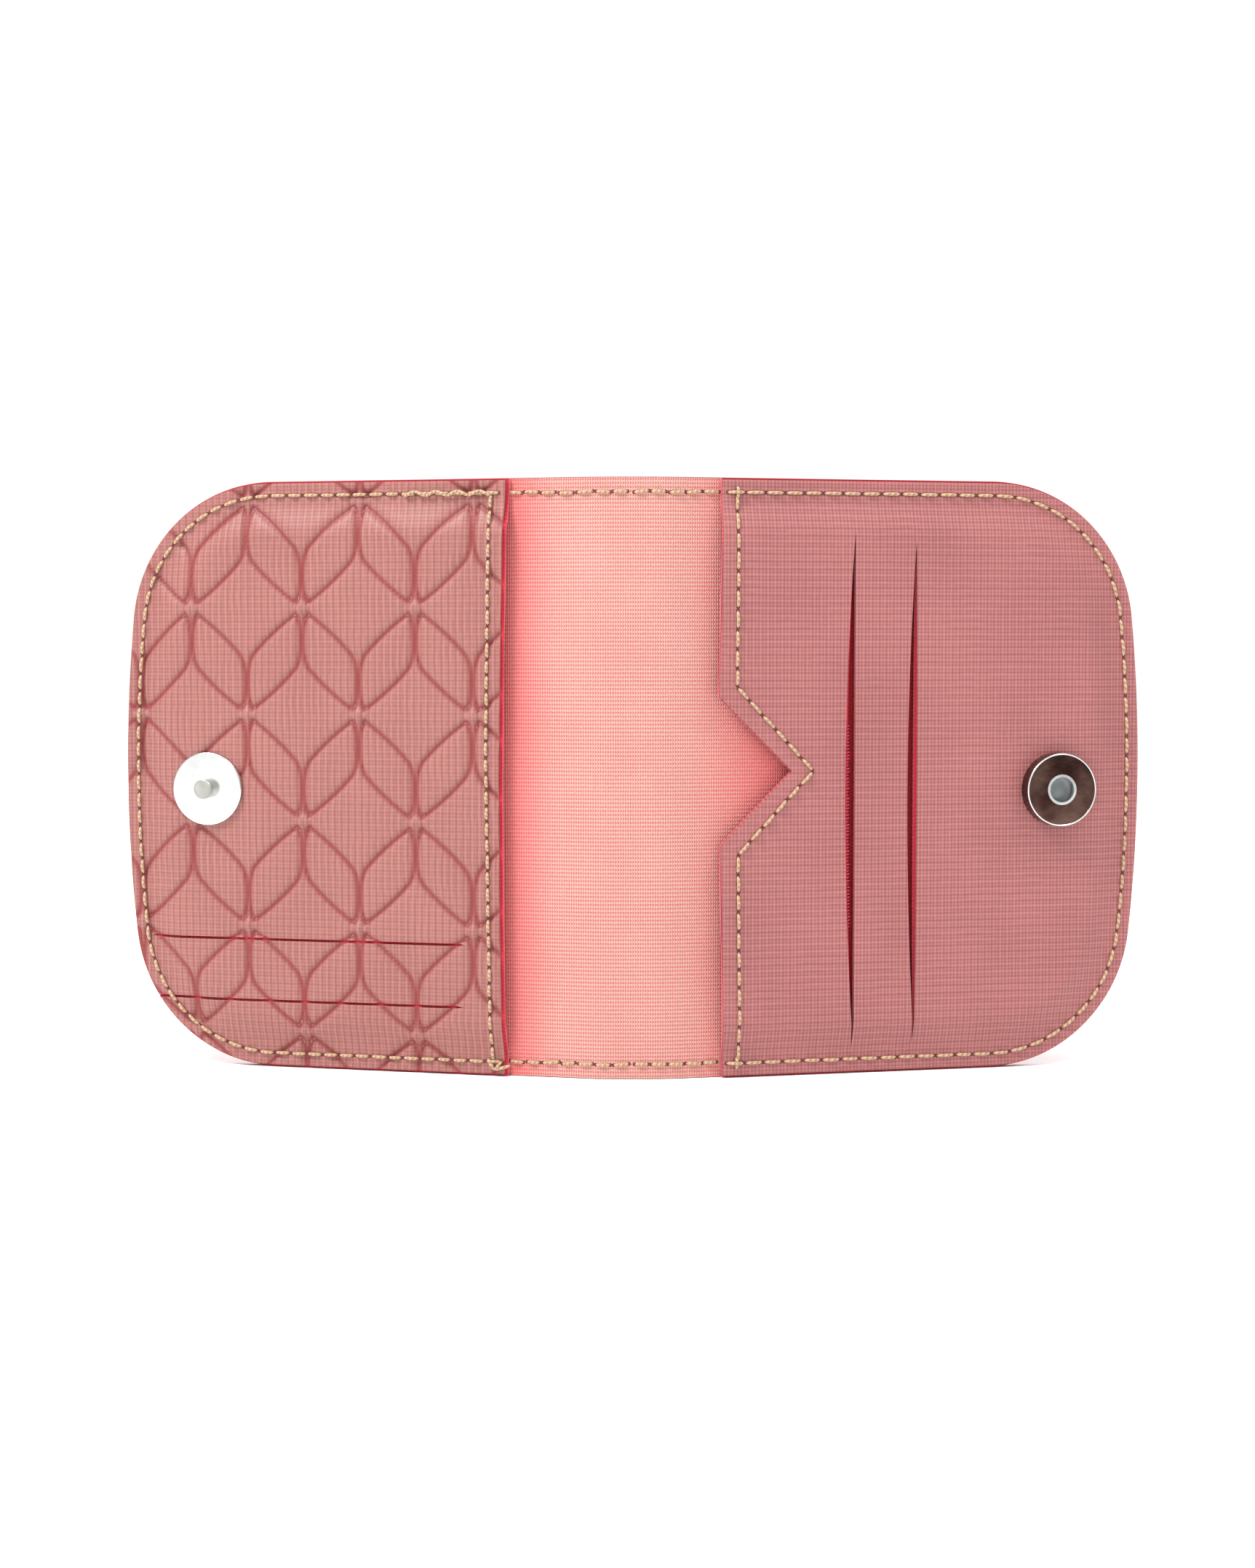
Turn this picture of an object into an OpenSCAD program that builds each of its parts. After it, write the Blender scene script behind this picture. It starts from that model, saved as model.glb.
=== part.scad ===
// Coupon organizer wallet: a folded vinyl cover with two slit pockets and a magnetic press snap.
// It stands on its long edge, opened past flat. X runs along the open wallet, Z up the fold,
// and the inside faces look towards -Y. The origin is under the middle of the spine strip.

/* [Cover] */
// Height of the wallet, which is the length of its folds
height = 112; // [95:0.5:125]
// Middle of the spine to the outer end of each half, along the sheet
half_width = 100.2; // [90:0.1:120]
// Radius of the four outer corners
corner_r = 28.5; // [14:0.5:32]
// Radius of the gentle bow of each outer end
end_bow_r = 290; // [110:2.5:300]

/* [Sheet] */
// Thickness of the coated skin
skin_t = 0.7; // [0.5:0.05:1]
// Thickness of the woven backing
backing_t = 0.5; // [0.3:0.05:0.8]
// Thickness of the divider cloth
divider_t = 0.3; // [0.2:0.05:0.5]
// How far the backing of the cover stays inside the cover's edge
lining_inset = 0.3; // [0.1:0.05:0.6]
// How far the pocket layers stay inside the cover's edge
panel_inset = 0.45; // [0.2:0.05:1]

/* [Pockets] */
// Middle of the spine to the mouth of the left pocket, along the sheet
left_mouth = 23.6; // [18:0.1:30]
// Middle of the spine to the mouth of the right pocket, along the sheet
right_mouth = 16.4; // [12:0.2:22]
// Depth of the V notch in the right mouth
notch_depth = 13.4; // [8:0.2:16]
// Width of the V notch at the mouth
notch_width = 27.6; // [16:0.2:32]
// Height of the middle of the V notch
notch_height = 57.5; // [45:0.5:62]
// Room behind the card divider, for coupons
coupon_gap = 0.6; // [0.4:0.1:1.5]
// Room in front of the card divider, for a card and the back of the snap
card_gap = 1; // [0.9:0.1:2]
// Width of the slope from the seam up to the flat of the pocket
slope_w = 5; // [3:0.5:6]
// Flat strip between the seam and that slope
slope_start = 0.8; // [0.5:0.1:2]

/* [Slits] */
// Middle of the spine to the first and second upright slits
right_slit_at = [42, 54]; // [30:0.2:65]
// Widest gape of the upright slits
right_slit_gape = 1.6; // [0.4:0.1:2.5]
// Height of the lower end of the upright slits
right_slit_foot = 5.8; // [5:0.1:8]
// Distance of their upper end from the top of the wallet
right_slit_head = 10.2; // [6:0.1:14]
// Middle of the spine to the inner end of the lower slits
left_slit_at = 31; // [28:0.5:34]
// Heights of the two lower slits
left_slit_heights = [24.6, 12.8]; // [8:0.2:35]
// Distance of their outer ends from the outline. The second one runs out under the seam.
left_slit_margins = [3.4, 1.1]; // [1:0.1:6]
// Widest gape of the lower slits
left_slit_gape = 0.4; // [0.2:0.1:1]

/* [Snap] */
// Diameter of both halves of the snap
snap_d = 14; // [12:0.5:16]
// Outer end of the half to the middle of the snap
snap_inset = 17.9; // [16:0.1:24]
// Height of the snap
snap_height = 53.5; // [45:0.5:60]
// Thickness of the stud's disc
stud_plate_t = 0.9; // [0.8:0.05:1.2]
// Diameter of the stud's post
post_d = 3.7; // [3:0.1:4.2]
// Height of the post above its disc
post_h = 2.1; // [1.5:0.1:2.3]
// Bevel round the top of the post
post_bevel = 0.2; // [0.1:0.05:0.5]
// Height of the socket
socket_h = 3; // [2.8:0.1:4]
// Thickness of the socket's cap
cap_t = 0.35; // [0.25:0.05:0.5]
// Inner diameter of the eyelet in the socket
eyelet_d = 4.8; // [4.6:0.1:5.4]
// Wall of the eyelet
eyelet_t = 0.5; // [0.3:0.05:0.8]
// How far the eyelet stands above the cap
eyelet_lip = 0.05; // [0.02:0.01:0.1]
// Diameter of the iron core
core_d = 3.6; // [2.8:0.1:4]
// Height of the iron core above the prong plate
core_h = 0.45; // [0.3:0.05:0.6]
// Radius that the shank of each rivet has
shank_r = 0.9; // [0.6:0.05:1.2]
// Thickness of the prong plates, their legs and the washers
prong_t = 0.4; // [0.3:0.05:0.45]
// Width of a leg
prong_w = 3; // [2:0.1:3.5]
// Spacing of the two legs
prong_spacing = 7; // [6:0.1:8]
// Length of the bent end of a leg
prong_fold = 1.9; // [1.2:0.1:2.2]
// Diameter of the stud's prong plate
stud_base_d = 9; // [8.2:0.1:10]
// Diameter of the washers
washer_d = 12; // [11.5:0.1:13]
// Diameter of the hole in the washers
washer_bore_d = 4; // [3:0.1:5]
// Play between the pieces of the snap
snap_play = 0.05; // [0.03:0.01:0.1]
// Air between the two snap halves when the wallet is shut
shut_gap = 0.15; // [0.1:0.05:0.3]

/* [Thread] */
// Diameter of the sewing thread
thread_d = 0.55; // [0.3:0.05:0.7]
// Distance of the perimeter seam from the cover's edge
seam_inset = 2.8; // [2:0.1:4]
// Distance of the mouth seams from the mouth
mouth_seam_inset = 2.8; // [2:0.1:4]
// Pitch of the stitches
stitch_pitch = 3.4; // [2.5:0.1:5]
// Bare length between two stitches, where the needle went through
stitch_gap = 0.8; // [0.5:0.1:1.2]
// Length of the back tack at the top of the left mouth
tack_l = 17; // [8:1:24]

/* [Pose] */
// How far the left half leans back from flat
left_lean = 14; // [0:0.5:25]
// How far the right half leans back from flat
right_lean = 13; // [0:0.5:25]
// Length of sheet left out beside each fold line, so that the halves turn freely
fold_relief = 0.9; // [0.8:0.05:1.5]

/* [Hidden] */
$fn = 64;

vinyl = [0.72, 0.45, 0.44];
cloth = [1, 0.68, 0.62];
cut_cloth = [0.93, 0.32, 0.42];
divider_cloth = [0.85, 0.3, 0.36];
steel = [0.75, 0.72, 0.6];
nickel = [0.86, 0.87, 0.86];
dark_nickel = [0.42, 0.38, 0.37];
ferrite = [0.25, 0.25, 0.26];
thread_colour = [0.86, 0.72, 0.5];

// How far a cut runs past the faces that it goes through
over = 1;

// Depths count from the fold axes, which lie in the middle of the cover sheet, towards the inside.
sheet_t = skin_t + backing_t;
lining_face = sheet_t / 2;
backing_seat = lining_face + divider_t;
panel_seat = backing_seat + backing_t;
panel_face = panel_seat + skin_t;
pocket_rise = coupon_gap + card_gap;
snap_seat = panel_face + pocket_rise;
shut_room = socket_h + stud_plate_t + shut_gap;
spine_w = 2 * snap_seat + shut_room;

// Along a half, distances count from its fold axis.
fold = spine_w / 2;
reach = half_width - fold;
snap_u = reach - snap_inset;
slope_foot = seam_inset + slope_start;
slope_end = slope_foot + slope_w;
slope_a = atan2(pocket_rise, slope_w);
right_slit_l = height - right_slit_foot - right_slit_head;

// The outline of a half: straight edges, round corners and a bowed end. The bow and the corner
// circles touch at the angle corner_a.
bow_u = reach - end_bow_r;
corner_u = bow_u + sqrt(pow(end_bow_r - corner_r, 2) - pow(height / 2 - corner_r, 2));
corner_a = atan2(height / 2 - corner_r, corner_u - bow_u);
corner_steps = 12;
bow_steps = 7;
// The part of the bow that its points span, so that the last one isn't on a corner's first point
bow_part = 0.85;

// Where the outline is at height v: on a corner, or on the bow between the two corners
function edge_u(v) = let (low = min(v, height - v))
    low < corner_r * (1 - sin(corner_a)) ? corner_u + sqrt(low * (2 * corner_r - low))
        : bow_u + sqrt(pow(end_bow_r, 2) - pow(v - height / 2, 2));

function arc(u, v, r, from, to, n) =
    [for (i = [0:n]) let (a = from + (to - from) * i / n) [u + r * cos(a), v + r * sin(a)]];

// The outline drawn in by inset, from u = start at the bottom round to the same place at the top
function outline(start, inset) = concat(
    [[start, inset]],
    arc(corner_u, corner_r, corner_r - inset, -90, -corner_a, corner_steps),
    arc(bow_u, height / 2, end_bow_r - inset, -corner_a * bow_part, corner_a * bow_part, bow_steps),
    arc(corner_u, height - corner_r, corner_r - inset, corner_a, 90, corner_steps),
    [[start, height - inset]]
);

// A pocket sheet: flat along the seam, then a slope up to a flat field, which may step down from
// rise to low behind the mouth. Its points lie on three rings, at the edge, at the foot and at the
// top of the slope, first below and then above. A lower field has its slope's top further out.
module pocket_sheet(mouth, down, seat, t, low) {
    low_w = slope_w * low / pocket_rise;
    function ring(inset, low_inset) = concat(
        [[mouth, inset], [down, inset]], outline(down + down_w, low_inset),
        [[down, height - inset], [mouth, height - inset]]);
    rings = [ring(panel_inset, panel_inset), ring(slope_foot, slope_foot),
             ring(slope_end, slope_foot + low_w)];
    n = len(rings[0]);
    last = n - 1;
    function lift(k) = k < 2 || k > n - 3 ? pocket_rise : low;
    points = [for (up = [0, 1]) for (r = [0:2]) for (k = [0:last])
        [rings[r][k][0], rings[r][k][1], seat + up * t + (r == 2 ? lift(k) : 0)]];
    function at(up, r, k) = (3 * up + r) * n + k;
    bands = [for (r = [0, 1]) for (k = [0:n - 2]) each [
        [at(0, r, k), at(0, r, k + 1), at(0, r + 1, k + 1), at(0, r + 1, k)],
        [at(1, r + 1, k), at(1, r + 1, k + 1), at(1, r, k + 1), at(1, r, k)]
    ]];
    parts = [[0, 1, n - 2, last], [1, 2, n - 3, n - 2], [for (k = [2:n - 3]) k]];
    fields = [for (part = parts) each [
        [for (k = part) at(0, 2, k)],
        [for (i = [len(part) - 1:-1:0]) at(1, 2, part[i])]
    ]];
    rim = [for (k = [0:n - 2]) [at(0, 0, k), at(1, 0, k), at(1, 0, k + 1), at(0, 0, k + 1)]];
    mouth_face = concat([[at(0, 2, last), at(1, 2, last), at(1, 2, 0), at(0, 2, 0)]],
        [for (r = [0, 1]) each [
            [at(0, r + 1, 0), at(1, r + 1, 0), at(1, r, 0), at(0, r, 0)],
            [at(0, r, last), at(1, r, last), at(1, r + 1, last), at(0, r + 1, last)]
        ]]);
    polyhedron(points, concat(bands, fields, rim, mouth_face), convexity = 4);
}

function clamp01(x) = max(0, min(1, x));

// How far a point of a half lies inside the outline, and how far a pocket panel is lifted there
function depth_in(u, v) =
    let (low = min(v, height - v),
         corner = u > corner_u && low < corner_r
            ? corner_r - norm([u - corner_u, corner_r - low]) : low)
    min(low, corner, end_bow_r - norm([u - bow_u, v - height / 2]));
function panel_lift(u, v) = pocket_rise * clamp01((depth_in(u, v) - slope_foot) / slope_w);

// The divider is up against the panel at the mouth, then goes down to make room for cards.
down_w = 4;
down_clear = 0.6;
left_down = left_mouth - fold + mouth_seam_inset + thread_d + down_clear;
notch_tip_seam = notch_depth + mouth_seam_inset / sin(atan2(notch_width / 2, notch_depth));
right_down = right_mouth - fold + notch_tip_seam + thread_d + down_clear;

// Places of the two halves at rest
module on_left() {
    translate([-fold, 0, 0]) rotate([0, 0, -left_lean]) mirror([1, 0, 0]) children();
}
module on_right() {
    translate([fold, 0, 0]) rotate([0, 0, right_lean]) children();
}

// The sheets of a half are drawn lying flat, with Z as the depth, and then stood up.
module stand_up() rotate([90, 0, 0]) children();

module half_sheet(from, t, inset) {
    stand_up() translate([0, 0, from]) linear_extrude(t) polygon(outline(fold_relief, inset));
}

// The spine strip between the fold axes, with its long edges round like a rolled fold
module spine_sheet(from, t, inset) {
    translate([0, 0, inset]) linear_extrude(height - 2 * inset) intersection() {
        union() {
            square([spine_w, sheet_t], center = true);
            for (x = [-fold, fold]) translate([x, 0]) circle(d = sheet_t);
        }
        translate([-spine_w, -from - t]) square([2 * spine_w, t]);
    }
}

module cover_left() color(vinyl) on_left() half_sheet(-lining_face, skin_t, 0);
module cover_spine() color(vinyl) spine_sheet(-lining_face, skin_t, 0);
module cover_right() color(vinyl) on_right() half_sheet(-lining_face, skin_t, 0);

lining_seat = skin_t - lining_face;
module lining_left() color(cloth) on_left() half_sheet(lining_seat, backing_t, lining_inset);
module lining_spine() color(cloth) spine_sheet(lining_seat, backing_t, lining_inset);
module lining_right() color(cloth) on_right() half_sheet(lining_seat, backing_t, lining_inset);

// A long slit that gapes in the middle, from its lower or inner end at the origin along +Y
module slit(l, gape) {
    n = 12;
    side = [for (i = [0:n]) [gape / 2 * sin(180 * i / n), l * i / n]];
    polygon(concat([for (p = side) [-p[0], p[1]]], [for (i = [n - 1:-1:1]) side[i]]));
}

// What is cut right through the layers of a pocket, as flat shapes
module left_slits() {
    start = left_slit_at - fold;
    for (i = [0, 1]) let (v = left_slit_heights[i])
        translate([start, v]) rotate(-90) slit(edge_u(v) - left_slit_margins[i] - start, left_slit_gape);
}
module right_slits() {
    for (at = right_slit_at)
        translate([at - fold, right_slit_foot]) slit(right_slit_l, right_slit_gape);
}
module thumb_notch() {
    translate([right_mouth - fold, notch_height]) polygon([
        [-over, -notch_width / 2], [0, -notch_width / 2], [notch_depth, 0],
        [0, notch_width / 2], [-over, notch_width / 2]
    ]);
}
module prong_slots() {
    for (side = [-1, 1]) translate([snap_u + side * prong_spacing / 2, snap_height])
        square([prong_t + 2 * snap_play, prong_w + 2 * snap_play], center = true);
}
module cut_through() translate([0, 0, -over]) linear_extrude(snap_seat + 2 * over) children();

module left_layer(seat, t) {
    on_left() stand_up() difference() {
        pocket_sheet(left_mouth - fold, left_down, seat, t, pocket_rise);
        cut_through() left_slits();
        cut_through() prong_slots();
    }
}
module right_layer(seat, t) {
    on_right() stand_up() difference() {
        pocket_sheet(right_mouth - fold, right_down, seat, t, pocket_rise);
        cut_through() right_slits();
        cut_through() thumb_notch();
        cut_through() prong_slots();
    }
}

module left_pocket_panel() color(vinyl) left_layer(panel_seat, skin_t);
module left_pocket_backing() color(cut_cloth) left_layer(backing_seat, backing_t);
module left_card_divider() color(divider_cloth)
    on_left() stand_up() pocket_sheet(left_mouth - fold, left_down, lining_face, divider_t, coupon_gap);

module right_pocket_panel() color(vinyl) right_layer(panel_seat, skin_t);
module right_pocket_backing() color(cut_cloth) right_layer(backing_seat, backing_t);
module right_card_divider() color(divider_cloth) on_right() stand_up() difference() {
    pocket_sheet(right_mouth - fold, right_down, lining_face, divider_t, coupon_gap);
    cut_through() thumb_notch();
}

// The snap halves stand on the pocket panels. Their own axis is Z, out of the panel.
module snap_seat_left() {
    on_left() translate([snap_u, -snap_seat, snap_height]) rotate([90, 0, 0]) children();
}
module snap_seat_right() {
    on_right() translate([snap_u, -snap_seat, snap_height]) rotate([90, 0, 0]) children();
}

rim_round = 0.3;
function rim(r, top) = arc(r - rim_round, top - rim_round, rim_round, 0, 90, 5);

module stud_plate() color(nickel) snap_seat_left() rotate_extrude() polygon(concat(
    [[stud_base_d / 2 + snap_play, 0], [snap_d / 2, 0]],
    rim(snap_d / 2, stud_plate_t),
    [[shank_r + snap_play, stud_plate_t], [shank_r + snap_play, prong_t + snap_play],
     [stud_base_d / 2 + snap_play, prong_t + snap_play]]
));

module stud_rivet() color(nickel) snap_seat_left() rotate_extrude() polygon([
    [0, snap_play], [shank_r, snap_play], [shank_r, stud_plate_t], [post_d / 2, stud_plate_t],
    [post_d / 2, stud_plate_t + post_h - post_bevel], [post_d / 2 - post_bevel, stud_plate_t + post_h],
    [0, stud_plate_t + post_h]
]);

// A plate with two legs that pass through the panel and the washer and are bent outwards
module prong_plate(base_d) {
    leg_l = sheet_t + prong_t;
    difference() {
        cylinder(d = base_d, h = prong_t);
        translate([0, 0, -over]) cylinder(r = shank_r + snap_play, h = prong_t + 2 * over);
    }
    for (side = [-1, 1]) {
        translate([side * prong_spacing / 2, 0, prong_t / 2 - (leg_l + prong_t) / 2])
            cube([prong_t, prong_w, leg_l + 2 * prong_t], center = true);
        translate([side * (prong_spacing + prong_fold - prong_t) / 2, 0, -leg_l - prong_t / 2])
            cube([prong_fold, prong_w, prong_t], center = true);
    }
}

module prong_washer() {
    translate([0, 0, -sheet_t - prong_t]) difference() {
        cylinder(d = washer_d, h = prong_t);
        translate([0, 0, -over]) cylinder(d = washer_bore_d, h = prong_t + 2 * over);
        for (side = [-1, 1]) translate([side * prong_spacing / 2, 0, 0])
            cube([prong_t + 2 * snap_play, prong_w + 2 * snap_play, 4 * prong_t], center = true);
    }
}

module stud_prongs() color(steel) snap_seat_left() prong_plate(stud_base_d);
module stud_washer() color(steel) snap_seat_left() prong_washer();

eyelet_r = eyelet_d / 2 + eyelet_t;
cap_bore_r = eyelet_r + snap_play;
magnet_r = snap_d / 2 - cap_t - snap_play;

module socket_cap() color(dark_nickel) snap_seat_right() rotate_extrude() polygon(concat(
    [[snap_d / 2 - cap_t, 0], [snap_d / 2, 0]],
    rim(snap_d / 2, socket_h),
    [[cap_bore_r, socket_h], [cap_bore_r, socket_h - cap_t],
     [snap_d / 2 - cap_t, socket_h - cap_t]]
));

module socket_magnet() color(ferrite) snap_seat_right() translate([0, 0, prong_t])
    difference() {
        cylinder(r = magnet_r, h = socket_h - cap_t - prong_t);
        translate([0, 0, -over]) cylinder(r = cap_bore_r, h = socket_h + 2 * over);
    }

module socket_eyelet() color(nickel) snap_seat_right() translate([0, 0, prong_t])
    difference() {
        cylinder(r = eyelet_r, h = socket_h - prong_t + eyelet_lip);
        translate([0, 0, -over]) cylinder(d = eyelet_d, h = socket_h + 2 * over);
    }

module socket_core() color(steel) snap_seat_right() {
    translate([0, 0, prong_t]) cylinder(d = core_d, h = core_h);
    translate([0, 0, snap_play]) cylinder(r = shank_r, h = prong_t);
}

module socket_prongs() color(steel) snap_seat_right() prong_plate(2 * magnet_r);
module socket_washer() color(steel) snap_seat_right() prong_washer();

// Stitches: short rods laid end to end along a path of [u, v] points
thread_r = thread_d / 2;
function path_runs(p) =
    [for (i = 0, s = 0; i < len(p); s = s + (i + 1 < len(p) ? norm(p[i + 1] - p[i]) : 0), i = i + 1) s];
function path_point(p, runs, s) =
    [lookup(s, [for (i = [0:len(p) - 1]) [runs[i], p[i][0]]]),
     lookup(s, [for (i = [0:len(p) - 1]) [runs[i], p[i][1]]])];

module rod(a, b) {
    run = b - a;
    translate(a) rotate([0, acos(run[2] / norm(run)), atan2(run[1], run[0])])
        cylinder(r = thread_r, h = norm(run), $fn = 16);
}

// face is the depth of the surface under the thread, and out is 1 inside and -1 outside.
module stitches(path, face, on_panel, out) {
    runs = path_runs(path);
    total = runs[len(runs) - 1];
    n = max(1, round(total / stitch_pitch));
    function place(s) =
        let (p = path_point(path, runs, s), lift = on_panel ? panel_lift(p[0], p[1]) : 0,
             on_slope = lift > 0 && lift < pocket_rise)
        [p[0], -(face + lift + out * (on_slope ? thread_r / cos(slope_a) : thread_r)), p[1]];
    for (i = [0:n - 1])
        rod(place((total * i) / n + stitch_gap / 2), place((total * (i + 1)) / n - stitch_gap / 2));
}

// The perimeter seam of a half: round the pocket, and along the bare lining up to the fold
module half_seam(mouth) {
    border = outline(mouth + stitch_gap / 2, seam_inset);
    stitches(border, panel_face, false, 1);
    stitches(border, -lining_face, false, -1);
    for (v = [seam_inset, height - seam_inset]) {
        bare = [[fold_relief, v], [mouth - stitch_gap / 2, v]];
        stitches(bare, lining_face, false, 1);
        stitches(bare, -lining_face, false, -1);
    }
}

module seam_left() color(thread_colour) on_left() half_seam(left_mouth - fold);
module seam_right() color(thread_colour) on_right() half_seam(right_mouth - fold);
module seam_spine() color(thread_colour)
    for (v = [seam_inset, height - seam_inset]) {
        strip = [[fold_relief - fold, v], [fold - fold_relief, v]];
        stitches(strip, lining_face, false, 1);
        stitches(strip, -lining_face, false, -1);
    }

// The mouth seams end a stitch gap short of the perimeter seam.
seam_clear = seam_inset + thread_d;
left_seam_u = left_mouth - fold + mouth_seam_inset;

// A straight run of a mouth seam. A new run starts at the top of the slope.
module mouth_run(u, from, to) stitches([[u, from], [u, to]], panel_face, true, 1);
module mouth_ends(u) {
    mouth_run(u, seam_clear, slope_end);
    mouth_run(u, height - slope_end, height - seam_clear);
}

module mouth_seam_left() color(thread_colour) on_left() {
    mouth_ends(left_seam_u);
    mouth_run(left_seam_u, slope_end, height - slope_end);
}

right_seam_u = right_mouth - fold + mouth_seam_inset;
notch_seam_half = notch_width / 2 + mouth_seam_inset * tan(atan2(notch_width / 2, notch_depth) / 2);
module mouth_seam_right() color(thread_colour) on_right() {
    tip = [right_mouth - fold + notch_tip_seam, notch_height];
    low = [right_seam_u, notch_height - notch_seam_half];
    high = [right_seam_u, notch_height + notch_seam_half];
    mouth_ends(right_seam_u);
    mouth_run(right_seam_u, slope_end, low[1]);
    stitches([low, tip], panel_face, true, 1);
    stitches([tip, high], panel_face, true, 1);
    mouth_run(right_seam_u, high[1], height - slope_end);
}

// Loose thread lies on top of the seam, a thread higher. Points are [u, v] pairs.
module loose_threads(pairs, face) {
    depth = face + thread_d + thread_r;
    for (p = pairs) rod([p[0][0], -depth, p[0][1]], [p[1][0], -depth, p[1][1]]);
}

// The start and end of the perimeter seam: doubled stitches along the top of the left pocket,
// which cross the seam from tack_up above it to tack_down below it and back
tack_up = 0.3;
tack_down = -0.4;
module back_tack_left() color(thread_colour) on_left() {
    n = round(tack_l / stitch_pitch);
    top = height - seam_inset;
    loose_threads([for (i = [0:n - 1]) let (u = left_seam_u + i * tack_l / n)
        [[u, top + (i % 2 == 0 ? tack_up : tack_down)],
         [u + tack_l / n, top + (i % 2 == 0 ? tack_down : tack_up)]]],
        panel_face);
}

// The knot below the left mouth, shaped like a Y: two threads that meet at its foot
knot_foot = [left_seam_u - 0.5, seam_inset - 1.6];
knot_arms = [[left_seam_u + 0.9, seam_inset + 0.5], [left_mouth - fold + 0.4, seam_inset]];
module thread_knot_left() color(thread_colour) on_left()
    loose_threads([for (arm = knot_arms) [arm, knot_foot]], panel_face);

// A small cross at each end of the right mouth seam
cross_w = 2.2;
cross_h = 1.8;
module cross_tacks_right() color(thread_colour) on_right()
    for (v = [seam_inset, height - seam_inset])
        loose_threads([
            [[right_seam_u - cross_w / 2, v], [right_seam_u + cross_w / 2, v]],
            [[right_seam_u, v - cross_h / 2], [right_seam_u, v + cross_h / 2]]
        ], panel_face);

cover_left();
cover_spine();
cover_right();
lining_left();
lining_spine();
lining_right();
left_pocket_panel();
left_pocket_backing();
left_card_divider();
right_pocket_panel();
right_pocket_backing();
right_card_divider();
stud_plate();
stud_rivet();
stud_prongs();
stud_washer();
socket_cap();
socket_magnet();
socket_eyelet();
socket_core();
socket_prongs();
socket_washer();
seam_left();
seam_spine();
seam_right();
mouth_seam_left();
mouth_seam_right();
back_tack_left();
thread_knot_left();
cross_tacks_right();
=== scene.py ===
# %% [markdown]
# # Dressing a folding vinyl wallet
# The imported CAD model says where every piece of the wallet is. This script puts the looks round it:
# sheets that bend at the fold, an embossed pocket, slits that gape, thread, and plated metal.
# Lengths on the wallet are worked out in millimetres, as a maker would, and become metres when a mesh
# is made. The studio is in metres.

import math

import bpy
import numpy as np
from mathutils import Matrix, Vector
from mathutils.kdtree import KDTree


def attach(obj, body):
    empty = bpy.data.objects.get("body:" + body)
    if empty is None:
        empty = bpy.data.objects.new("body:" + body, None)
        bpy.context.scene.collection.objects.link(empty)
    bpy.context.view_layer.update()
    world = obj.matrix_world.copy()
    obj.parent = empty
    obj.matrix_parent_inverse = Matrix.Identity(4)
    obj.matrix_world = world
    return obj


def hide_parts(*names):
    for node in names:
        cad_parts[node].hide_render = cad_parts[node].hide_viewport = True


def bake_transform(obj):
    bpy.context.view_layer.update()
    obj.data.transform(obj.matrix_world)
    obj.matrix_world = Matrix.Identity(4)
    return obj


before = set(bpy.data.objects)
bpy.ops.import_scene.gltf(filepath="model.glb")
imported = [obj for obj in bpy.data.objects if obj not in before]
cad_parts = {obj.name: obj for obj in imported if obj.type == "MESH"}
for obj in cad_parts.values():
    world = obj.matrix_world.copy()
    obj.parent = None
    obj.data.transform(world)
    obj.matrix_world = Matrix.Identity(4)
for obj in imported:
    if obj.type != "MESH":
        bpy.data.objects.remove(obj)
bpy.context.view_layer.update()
MM = 0.001


def add_object(name, data):
    """An object of this data at the origin, linked to the scene."""
    made = bpy.data.objects.new(name, data)
    bpy.context.collection.objects.link(made)
    return made


# %% [markdown]
# ## The camera
# The camera comes first, because it says what has to look right. Its place was fitted to the
# photograph: the outline and the discs of the snap fix its distance, its height and its tilt.

# %% Place the camera
CAMERA_AT = (-0.7, -472.0, 82.1)
CAMERA_DOWN = 3.26
LENS = 58.44
SENSOR = 36
camera_data = bpy.data.cameras.new("camera")
camera_data.sensor_fit = "VERTICAL"
camera_data.sensor_height = SENSOR
camera_data.sensor_width = SENSOR
camera_data.lens = LENS
camera = add_object("camera", camera_data)
camera.location = Vector(CAMERA_AT) * MM
camera.rotation_euler = (math.radians(90 - CAMERA_DOWN), 0, 0)
bpy.context.scene.camera = camera
print("camera at", tuple(camera.location))

# %% [markdown]
# ## The measures of the wallet
# These are the sizes of the part's source, since a script that dresses a part can't read it.
# `s` is the distance from the middle of the spine along the sheet, `v` the height, and a depth
# counts from the middle of the cover sheet towards the inside.

# %% Repeat the part's sizes
# The outline: height, reach from the middle, round corners, and the bow of the outer ends
HEIGHT = 112.0
HALF_WIDTH = 100.2
CORNER_R = 28.5
BOW_R = 290.0
# The folds: how far from the middle, and how far each half leans back at rest, in degrees
FOLD = 5.725
LEAN = {-1: 14.0, 1: 13.0}
BODY = {-1: "left_half", 1: "right_half"}
SIDE_NAME = {-1: "left", 1: "right"}
# The sheets: depth of the lining's face, thicknesses, and depth of a panel's face at its edge
SHEET_FACE = 0.6
SKIN_T = 0.7
BACKING_T = 0.5
PANEL_FACE = 2.1
# How far a pocket rises from there, and the socket from the pocket
POCKET_RISE = 1.6
SOCKET_H = 3.0
# How far inside the outline: the panel's edge, the seam, and the slope of a pocket with its width
PANEL_INSET = 0.45
SEAM_INSET = 2.8
SLOPE_FOOT = 3.4
SLOPE_W = 7.3
# The sheet bends this far to either side of a fold
BEND_W = 4.0

bow_s = HALF_WIDTH - BOW_R
corner_s = bow_s + math.sqrt((BOW_R - CORNER_R) ** 2 - (HEIGHT / 2 - CORNER_R) ** 2)
corner_a = math.atan2(HEIGHT / 2 - CORNER_R, corner_s - bow_s)


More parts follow.
